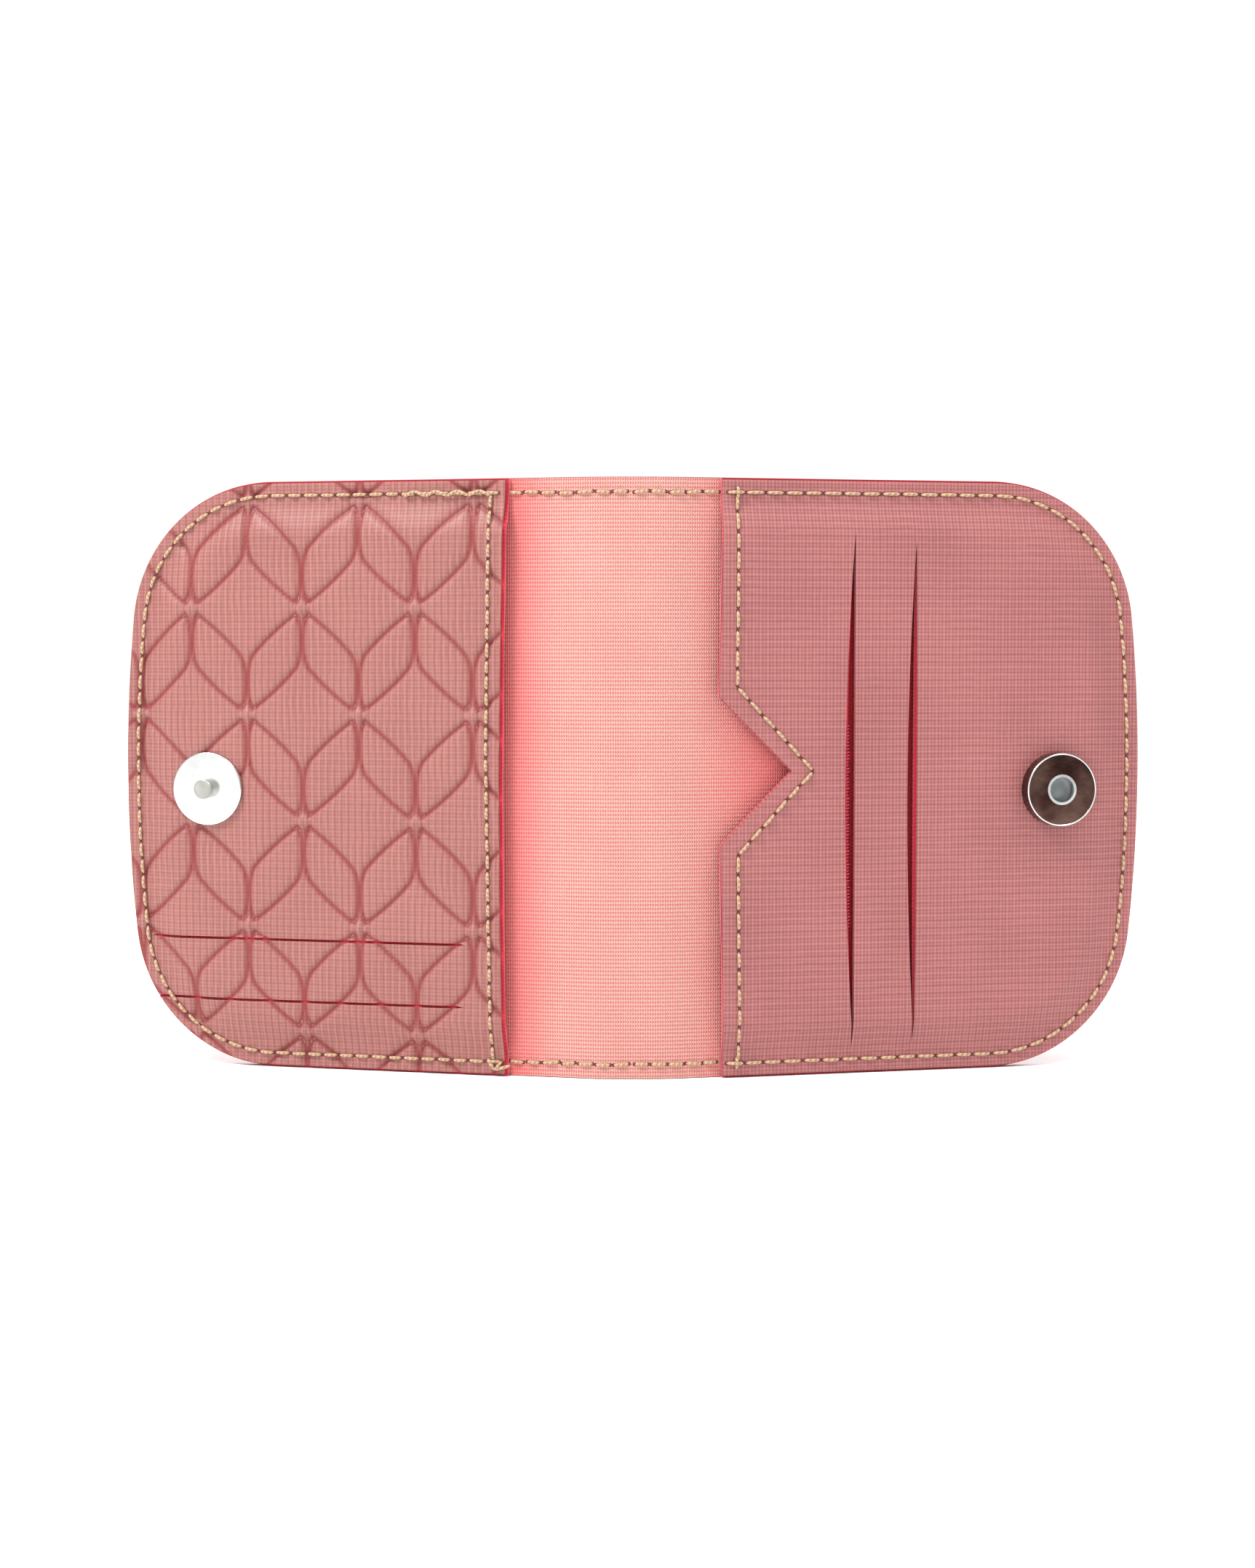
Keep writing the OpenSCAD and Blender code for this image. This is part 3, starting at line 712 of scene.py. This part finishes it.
for side, name in SIDE_NAME.items():
    s, v, cuts = pocket_grid(side, PANEL_INSET, SKIN_PITCH, 0.0)
    skin_inner = PANEL_FACE + pocket_lift(s, v)
    # dark: painted shade along the grooves of the left pocket's skin
    deep, dark = emboss(s, v) if side < 0 else (0 * s, 0 * s)
    skin = build_sheet(f"{name}_pocket_skin", side, s, v, skin_inner - deep, skin_inner - SKIN_T, cuts,
                       PANEL_VINYL[side], (dark, None))
    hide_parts(f"{name}_pocket_panel")
    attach(skin, BODY[side])
    s, v, cuts = pocket_grid(side, CLOTH_INSET, BACKING_PITCH, MOUTH_SHOWS[side], SLIT_SHOWS)
    skin_outer = PANEL_FACE + pocket_lift(s, v) - SKIN_T
    backing = build_sheet(f"{name}_pocket_cloth", side, s, v, skin_outer - LAYER_CLEAR,
                          skin_outer - BACKING_T, cuts, backing_cloth, walls=cut_edge)
    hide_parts(f"{name}_pocket_backing")
    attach(backing, BODY[side])
    declare_cloth(s, v)
    s, v, _ = pocket_grid(side, PANEL_INSET, DIVIDER_PITCH, -DIVIDER_BACK)
    lift = pocket_lift(s, v) * (1 - DIVIDER_DROP * smooth((s - mouth(side)(v) - DROP_FROM) / DROP_W))
    inner, outer = (face + lift for face in DIVIDER_FACES)
    divider = build_sheet(f"{name}_divider_cloth", side, s, v, inner, outer, [], divider_cloth)
    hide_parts(f"{name}_card_divider")
    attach(divider, BODY[side])
    declare_cloth(s, v)

# %% [markdown]
# ## The stitches
# A stitch is a short arched thread that dives into a needle hole at both ends. One Geometry Nodes
# tree makes a stitch and puts it on every point of a seam, turned along the seam. A second one puts
# a small dark disc of painted shade on every needle hole.

# %% Start and end a tree
def start_tree(name, sizes):
    """A tree that takes geometry, these sizes and a material, and a function that adds nodes to it."""
    tree = bpy.data.node_groups.new(name, "GeometryNodeTree")
    face = tree.interface
    face.new_socket("Geometry", in_out="INPUT", socket_type="NodeSocketGeometry")
    for label in sizes:
        face.new_socket(label, in_out="INPUT", socket_type="NodeSocketFloat")
    face.new_socket("Material", in_out="INPUT", socket_type="NodeSocketMaterial")
    face.new_socket("Geometry", in_out="OUTPUT", socket_type="NodeSocketGeometry")

    def add(kind, settings=None, inputs=None):
        n = tree.nodes.new(kind)
        for key, value in (settings or {}).items():
            setattr(n, key, value)
        for key, value in (inputs or {}).items():
            if isinstance(value, bpy.types.NodeSocket):
                tree.links.new(value, n.inputs[key])
            else:
                n.inputs[key].default_value = value
        return n

    return tree, add


def named(add, name, kind):
    """A named attribute of the points."""
    return add("GeometryNodeInputNamedAttribute", {"data_type": kind}, {"Name": name}).outputs[0]


def reckon(add, operation, *values):
    return add("ShaderNodeMath", {"operation": operation}, dict(enumerate(values))).outputs[0]


def put_on_points(add, given, instance, turn, more):
    """Real copies of the instance on the given points."""
    points = add("GeometryNodeMeshToPoints", None, {"Mesh": given["Geometry"]}).outputs[0]
    placed = add("GeometryNodeInstanceOnPoints", None,
                 {"Points": points, "Instance": instance, "Rotation": turn, **more}).outputs[0]
    return add("GeometryNodeRealizeInstances", None, {"Geometry": placed}).outputs[0]


def end_tree(add, given, geometry):
    coloured = add("GeometryNodeSetMaterial", None, {"Geometry": geometry, "Material": given["Material"]})
    add("NodeGroupOutput", None, {0: coloured.outputs[0]})


# %% Build the tree of stitches
CURVE_STEPS, THREAD_SIDES = 7, 7
# At its ends a thread's radius is smaller by this share of its diameter
END_TAPER = 0.25


def stitch_tree():
    tree, add = start_tree("stitches", ("Thread diameter", "Arch", "Dive"))
    given = add("NodeGroupInput").outputs
    low = reckon(add, "MULTIPLY", given["Dive"], -1.0)
    start = add("ShaderNodeCombineXYZ", None, {0: -0.5, 2: low}).outputs[0]
    middle = add("ShaderNodeCombineXYZ", None, {2: given["Arch"]}).outputs[0]
    end = add("ShaderNodeCombineXYZ", None, {0: 0.5, 2: low}).outputs[0]
    line = add("GeometryNodeCurveQuadraticBezier", None,
               {"Resolution": CURVE_STEPS, "Start": start, "Middle": middle, "End": end})
    along = add("GeometryNodeSplineParameter").outputs["Factor"]
    keep_along = add("GeometryNodeCaptureAttribute", None, {"Geometry": line.outputs[0]})
    keep_along.capture_items.new("FLOAT", "along")
    tree.links.new(along, keep_along.inputs[1])
    # From -1 to 1 along the stitch, and its fourth power, which is near 1 at the ends only
    off = reckon(add, "MULTIPLY_ADD", along, 2.0, -1.0)
    fourth = reckon(add, "POWER", reckon(add, "ABSOLUTE", off), 4.0)
    taper = reckon(add, "MULTIPLY_ADD", fourth, -END_TAPER, 0.5)
    radius = reckon(add, "MULTIPLY", taper, given["Thread diameter"])
    ring = add("GeometryNodeCurvePrimitiveCircle", None, {"Resolution": THREAD_SIDES, "Radius": 1.0})
    keep_round = add("GeometryNodeCaptureAttribute", None, {"Geometry": ring.outputs[0]})
    keep_round.capture_items.new("FLOAT", "around")
    # The same factor, taken on the ring, runs round the thread
    tree.links.new(along, keep_round.inputs[1])
    tube = add("GeometryNodeCurveToMesh", None, {"Curve": keep_along.outputs[0],
               "Profile Curve": keep_round.outputs[0], "Scale": radius, "Fill Caps": True})
    place = add("ShaderNodeCombineXYZ", None, {0: keep_along.outputs[1], 1: keep_round.outputs[1]})
    mapped = add("GeometryNodeStoreNamedAttribute", {"data_type": "FLOAT2", "domain": "CORNER"},
                 {"Geometry": tube.outputs[0], "Name": "UVMap", "Value": place.outputs[0]})
    turn = add("FunctionNodeAlignRotationToVector", {"axis": "X"},
               {"Vector": named(add, "along", "FLOAT_VECTOR")}).outputs[0]
    turn = add("FunctionNodeAlignRotationToVector", {"axis": "Z", "pivot_axis": "X"},
               {"Rotation": turn, "Vector": named(add, "up", "FLOAT_VECTOR")}).outputs[0]
    scale = add("ShaderNodeCombineXYZ", None, {0: named(add, "length", "FLOAT"), 1: 1.0, 2: 1.0})
    real = put_on_points(add, given, mapped.outputs[0], turn, {"Scale": scale.outputs[0]})
    soft = add("GeometryNodeSetShadeSmooth", None, {"Geometry": real})
    end_tree(add, given, soft.outputs[0])
    return tree


stitches_tree = stitch_tree()
print("stitch tree:", len(stitches_tree.nodes), "nodes")


# %% Build the tree of needle holes
HOLE_SIDES = 10


def hole_tree():
    tree, add = start_tree("needle holes", ("Hole diameter",))
    given = add("NodeGroupInput").outputs
    radius = reckon(add, "MULTIPLY", given["Hole diameter"], 0.5)
    disc = add("GeometryNodeMeshCircle", {"fill_type": "NGON"}, {"Vertices": HOLE_SIDES, "Radius": radius})
    turn = add("FunctionNodeAlignRotationToVector", {"axis": "Z"},
               {"Vector": named(add, "up", "FLOAT_VECTOR")})
    real = put_on_points(add, given, disc.outputs[0], turn.outputs[0], {})
    end_tree(add, given, real)
    return tree


holes_tree = hole_tree()
print("hole tree:", len(holes_tree.nodes), "nodes")

# %% Sew along a path
THREAD_D = 0.64
STITCH_ARCH, STITCH_DIVE = 0.85, 0.10
HOLE_D = 0.70
# Thread and holes lie this far off the sheet, and so aren't sunk in it
THREAD_CLEAR, HOLE_CLEAR = 0.02, 0.03
# How far a needle hole strays along its path
UNEVEN = 0.18
rng = np.random.default_rng(7)


def stitch_ends(path, pitch, gap, wobble):
    """Ends of the stitches along a path of (s, v) points, a little uneven: an array of stitches, their
    two ends, and s and v."""
    path = np.asarray(path, float)
    runs = np.concatenate([[0], np.cumsum(np.hypot(*np.diff(path, axis=0).T))])
    count = max(1, round(runs[-1] / pitch))
    cuts = np.linspace(0, runs[-1], count + 1)
    cuts[1:-1] += rng.uniform(-UNEVEN, UNEVEN, count - 1)
    ends = np.stack([cuts[:-1] + gap / 2, cuts[1:] - gap / 2], -1)
    at = np.stack([np.interp(ends, runs, path[:, k]) for k in (0, 1)], -1)
    return at + rng.uniform(-wobble, wobble, at.shape)


def on_points(name, places, tree, values, **attributes):
    """A piece made by a tree on points, as a plain mesh."""
    mesh = bpy.data.meshes.new(name)
    mesh.from_pydata(places.tolist(), [], [])
    for label, data in attributes.items():
        kind, field = ("FLOAT_VECTOR", "vector") if data.ndim == 2 else ("FLOAT", "value")
        mesh.attributes.new(label, kind, "POINT").data.foreach_set(field, data.astype(np.float32).ravel())
    piece = add_object(name, mesh)
    modifier = piece.modifiers.new("tree", "NODES")
    modifier.node_group = tree
    for item in tree.interface.items_tree:
        if item.in_out == "INPUT" and item.name in values:
            modifier[item.identifier] = values[item.name]
    made = bpy.data.meshes.new_from_object(piece.evaluated_get(bpy.context.evaluated_depsgraph_get()))
    piece.modifiers.clear()
    piece.data = made
    print(name, len(places), "places,", len(made.polygons), "faces")
    return piece


def bend_or_ride(piece, side, body):
    """A piece with a body rides with it. A piece that crosses the fold has no body of its own, and stays
    where it was made.
    """
    if body:
        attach(piece, body)
    else:
        bend_at_fold(piece, side)


def sew(name, side, runs, nodes, body, out=1, arch=STITCH_ARCH, dive=STITCH_DIVE,
        diameter=THREAD_D, material=thread_material):
    """runs: (ends of the stitches, depth of the surface as a function of s and v). out is -1 on the
    outside of the cover."""
    middles, alongs, ups, lengths = [], [], [], []
    for ends, surface in runs:
        a, b = (bent(side, *end, surface(*end)) for end in (ends[:, 0].T, ends[:, 1].T))
        middles.append((a + b) / 2)
        alongs.append((b - a) / np.linalg.norm(b - a, axis=1)[:, None])
        lengths.append(np.linalg.norm(b - a, axis=1))
        ups.append(out * inward(side, ends[:, :, 0].mean(1)))
    values = {"Thread diameter": diameter * MM, "Arch": arch * MM, "Dive": dive * MM,
              "Material": material}
    seam = on_points(name, np.concatenate(middles), stitches_tree, values,
                     along=np.concatenate(alongs), up=np.concatenate(ups), length=np.concatenate(lengths))
    if nodes:
        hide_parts(*nodes)
    bend_or_ride(seam, side, body)


def pierce(name, side, runs, body, out=1):
    """Dark discs of painted shade on the needle holes at both ends of every stitch."""
    ends = np.concatenate([stitches.reshape(-1, 2) for stitches, _ in runs])
    depth = np.concatenate([surface(*stitches.reshape(-1, 2).T) for stitches, surface in runs])
    ups = out * inward(side, ends[:, 0])
    holes = on_points(name, bent(side, ends[:, 0], ends[:, 1], depth + out * HOLE_CLEAR), holes_tree,
                      {"Hole diameter": HOLE_D * MM, "Material": hole_shade_material}, up=ups)
    bend_or_ride(holes, side, body)


# %% [markdown]
# The seam runs round each pocket and on along the bare lining to the middle of the spine. The other
# side of the same thread shows on the outside of the cover.

# %% Sew the seams
PATH_STEP = 1.0
# The pitch of the stitches round the rim, that of the mouths as a share of it, and on the lining
PITCH = {-1: 3.25, 1: 3.8}
MOUTH_PITCH_SHARE = 0.97
LINING_PITCH_SEWN = 3.1
# What a stitch leaves free of its pitch, and how far its ends stray, at the rim, mouth and lining
STITCH_GAP = 0.55
RIM_STRAY, MOUTH_STRAY, LINING_STRAY = 0.05, 0.06, 0.2
# The halves' seams start this far from the middle of the spine, and from the corner of the mouth
SPINE_START, CORNER_START = 0.3, 0.4
TOP_SEAM = HEIGHT - SEAM_INSET
MOUTH_SEAM = {
    -1: [(26.1, TOP_SEAM), (26.8, 60), (26.4, 30), (26.0, SEAM_INSET)],
    1: [(19.4, TOP_SEAM), (19.1, 73.2), (33.8, 57.5), (19.3, 42.0), (19.8, SEAM_INSET)],
}


def outline_path(start, inset):
    """From start along the bottom, up the outer end, and back along the top."""
    v = grid_rows(inset, PATH_STEP)
    s = edge(v, inset)
    return [(start, inset), *zip(s, v), (start, HEIGHT - inset)]


def panel_surface(s, v):
    return PANEL_FACE + pocket_lift(s, v) + THREAD_CLEAR


def lining_surface(s, v):
    return SHEET_FACE + THREAD_CLEAR + 0 * s


def outer_surface(s, v):
    return -SHEET_FACE - THREAD_CLEAR + 0 * s


for side, name in SIDE_NAME.items():
    start = float(mouth(side)(np.array([SEAM_INSET]))[0])
    rim = stitch_ends(outline_path(start + CORNER_START, SEAM_INSET), PITCH[side], STITCH_GAP, RIM_STRAY)
    bare = [stitch_ends([(SPINE_START, v), (start - CORNER_START, v)], LINING_PITCH_SEWN, STITCH_GAP,
                        LINING_STRAY) for v in (SEAM_INSET, TOP_SEAM)]
    back = stitch_ends(outline_path(SPINE_START, SEAM_INSET), PITCH[side], STITCH_GAP, RIM_STRAY)
    on_rim, on_back = [(rim, panel_surface)], [(back, outer_surface)]
    on_lining = [(stitches, lining_surface) for stitches in bare]
    nodes = [f"seam_{name}", "seam_spine"]
    sew(f"stitches_{name}", side, on_rim + on_lining, nodes, None)
    sew(f"stitches_{name}_outside", side, on_back, nodes, None, out=-1)
    pierce(f"needle_holes_{name}", side, on_rim, BODY[side])
    pierce(f"needle_holes_{name}_lining", side, on_lining, None)
    pierce(f"needle_holes_{name}_outside", side, on_back, None, out=-1)
    path = MOUTH_SEAM[side]
    on_mouth = [(stitch_ends(path[k:k + 2], PITCH[side] * MOUTH_PITCH_SHARE, STITCH_GAP, MOUTH_STRAY),
                 panel_surface) for k in range(len(path) - 1)]
    sew(f"stitches_mouth_{name}", side, on_mouth, [f"mouth_seam_{name}"], BODY[side])
    pierce(f"needle_holes_mouth_{name}", side, on_mouth, BODY[side])

# %% [markdown]
# At the ends of the mouth seams thread lies loose on top: doubled stitches at the upper left, a knot
# with three ends at the lower left, and a small cross at either end on the right.

# %% Sew the tacks and loose threads
# The doubled stitches zigzag: the first one's ends, the way from one to the next, and the swing
TACK_FROM, TACK_TO, TACK_STEP, TACK_SWING, TACKS = 26.1, 28.3, 2.1, 0.5, 8
KNOT = [((27.0, 3.4), (25.6, 1.2)), ((25.6, 1.2), (24.3, 2.9)), ((25.7, 1.3), (22.6, 2.2))]
CROSS_FROM, CROSS_TO, CROSS_AT, CROSS_UP = 18.1, 20.8, 19.5, 1.1
TACK_LIES, KNOT_LIES, CROSS_LIES = 0.45, 0.35, 0.4


def loose(pairs, above):
    """A run of threads between pairs of (s, v) points, at one height above the rim of the panel."""
    return (np.array(pairs, float), lambda s, v: PANEL_FACE + above + 0 * s)


tack = []
for i in range(TACKS):
    swing = TACK_SWING if i % 2 else -TACK_SWING
    tack.append(((TACK_FROM + TACK_STEP * i, TOP_SEAM + swing),
                 (TACK_TO + TACK_STEP * i, TOP_SEAM - swing)))
crosses = [thread_run for v in (SEAM_INSET, TOP_SEAM)
           for thread_run in (((CROSS_FROM, v), (CROSS_TO, v)),
                              ((CROSS_AT, v - CROSS_UP), (CROSS_AT, v + CROSS_UP)))]
sew("back_tack", -1, [loose(tack, TACK_LIES)], ["back_tack_left"], "left_half")
sew("thread_knot", -1, [loose(KNOT, KNOT_LIES)], ["thread_knot_left"], "left_half")
sew("cross_stitches", 1, [loose(crosses, CROSS_LIES)], ["cross_tacks_right"], "right_half")

# %% [markdown]
# The cut edge of the backing frays into a comb of short threads in the first upright slit.

# %% Fray the first upright slit
COMB_FROM, COMB_TO, COMB_PITCH = 28.0, 66.0, 0.62
COMB_LONG, COMB_UNEVEN, COMB_RISE = 0.75, 0.15, 0.1
COMB_D, COMB_ARCH, COMB_SUNK = 0.26, 0.1, 0.3


def comb_surface(s, v):
    return PANEL_FACE + POCKET_RISE - COMB_SUNK + 0 * s


at, first, last, gape, sway = UPRIGHT_SLITS[0]
comb_v = np.arange(COMB_FROM, COMB_TO, COMB_PITCH)
open_by = open_share(comb_v, first, last)
comb_s = at + (sway - gape / 2) * open_by
tips = comb_s + (COMB_LONG + rng.uniform(-COMB_UNEVEN, COMB_UNEVEN, len(comb_v))) * open_by
comb = np.stack([np.stack([comb_s, comb_v], -1), np.stack([tips, comb_v + COMB_RISE], -1)], 1)
sew("comb_of_slit", 1, [(comb, comb_surface)], [], "right_half", arch=COMB_ARCH, dive=0.0,
    diameter=COMB_D, material=comb_material)

# %% [markdown]
# ## The metal of the snap
# The discs, the post and the eyelet are rigid, and the CAD shapes are right, so they stay and get
# their finish. The bright rim that is rolled round the dark cap is a piece of its own.

# %% Finish the snap
FINISHES = {
    "stud_plate": bright_plate, "stud_rivet": struck_plate, "stud_prongs": steel, "stud_washer": steel,
    "socket_cap": dark_plate, "socket_magnet": magnet_material, "socket_eyelet": bright_plate,
    "socket_core": core_steel, "socket_prongs": steel, "socket_washer": steel,
}
for node, finish in FINISHES.items():
    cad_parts[node].data.materials.clear()
    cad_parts[node].data.materials.append(finish)
print("finished", len(FINISHES), "metal pieces")

# %% Roll the bright rim of the socket
SNAP_AT = (82.3, 53.5)
RIM_R, RIM_T, RIM_LOW = 6.78, 0.17, 0.12
RIM_STEPS, RIM_SIDES = 72, 8
RIM_HEIGHT = PANEL_FACE + POCKET_RISE + SOCKET_H - RIM_LOW
UP = np.array((0, 0, 1))


def rolled_rim():
    """The rim's points and faces, on the axis of the snap where the right half stands at rest."""
    s, v, depth = (np.array([x]) for x in (*SNAP_AT, RIM_HEIGHT))
    centre, normal = bent(1, s, v, depth)[0], inward(1, s)[0]
    level_way = np.cross(normal, UP)
    around, across = np.meshgrid(np.arange(RIM_STEPS) * math.tau / RIM_STEPS,
                                 np.arange(RIM_SIDES) * math.tau / RIM_SIDES, indexing="ij")
    wide = RIM_R + RIM_T * np.cos(across)
    points = (centre + (wide * np.cos(around))[..., None] * level_way * MM
              + (wide * np.sin(around))[..., None] * UP * MM
              + (RIM_T * np.sin(across))[..., None] * normal * MM)
    ids = np.arange(RIM_STEPS * RIM_SIDES).reshape(RIM_STEPS, RIM_SIDES)
    beside, ahead = np.roll(ids, -1, 1), np.roll(ids, -1, 0)
    faces = np.stack([ids, beside, np.roll(beside, -1, 0), ahead], -1)
    return centre, points.reshape(-1, 3).tolist(), faces.reshape(-1, 4).tolist()


rim_centre, rim_points, rim_faces = rolled_rim()
rim_mesh = bpy.data.meshes.new("socket_rim")
rim_mesh.from_pydata(rim_points, [], rim_faces)
rim_mesh.polygons.foreach_set("use_smooth", np.ones(len(rim_mesh.polygons), bool))
rim_mesh.materials.append(bright_plate)
socket_rim = add_object("socket_rim", rim_mesh)
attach(socket_rim, "right_half")
cap = np.array([vertex.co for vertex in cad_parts["socket_cap"].data.vertices]) / MM
print("socket rim at", (rim_centre / MM).round(2), "mm, cap from", cap.min(0).round(2), "to",
      cap.max(0).round(2))

# %% [markdown]
# ## The studio
# A white floor and white surroundings. The key from the upper left gives the embossing its shadows,
# a weaker light from the upper right lifts the far panel, and one behind whitens the floor. A dark
# card to the right shows in the polished socket, as in the photograph.

# %% Set the floor and the dark card
FLOOR = [(-12, -12, 0), (12, -12, 0), (12, 12, 0), (-12, 12, 0)]
CARD = [(0.50, -0.86, 0.02), (0.82, -0.60, 0.02), (0.82, -0.60, 0.34), (0.50, -0.86, 0.34)]


def stage_sheet(name, corners, material):
    """A flat sheet of the studio, which is no part of the wallet."""
    mesh = bpy.data.meshes.new(name)
    mesh.from_pydata(corners, [], [(0, 1, 2, 3)])
    mesh.materials.append(material)
    add_object(name, mesh)


stage_sheet("floor", FLOOR, speckled("floor", 0.9, 30.0, srgb(252, 252, 252), srgb(255, 255, 255)))
stage_sheet("dark_card", CARD,
            speckled("dark card", 1.0, 9.0, srgb(40, 24, 20), srgb(110, 84, 74), (0.35, 0.65)))

# %% Light it
world = bpy.data.worlds.new("studio")
world.use_nodes = True
world.node_tree.nodes["Background"].inputs["Color"].default_value = (1, 1, 1, 1)
world.node_tree.nodes["Background"].inputs["Strength"].default_value = 1.02
bpy.context.scene.world = world
bpy.context.scene.view_settings.view_transform = "Standard"


def soft_light(name, at, aim, size, power):
    """A round light: its place, what it points at and its size in metres, and its power in watts."""
    data = bpy.data.lights.new(name, "AREA")
    data.shape, data.size, data.energy = "DISK", size, power
    light = add_object(name, data)
    light.location = at
    light.rotation_euler = (Vector(aim) - Vector(at)).to_track_quat("-Z", "Y").to_euler()


soft_light("key", (-0.45, -0.35, 0.80), (0, 0, 0.06), 0.30, 8.5)
soft_light("top", (0.40, -0.25, 0.90), (0.05, 0, 0.08), 0.35, 2.6)
soft_light("back", (0.0, 0.9, 0.9), (0, 0, 0.05), 0.9, 4.0)
print("studio ready")
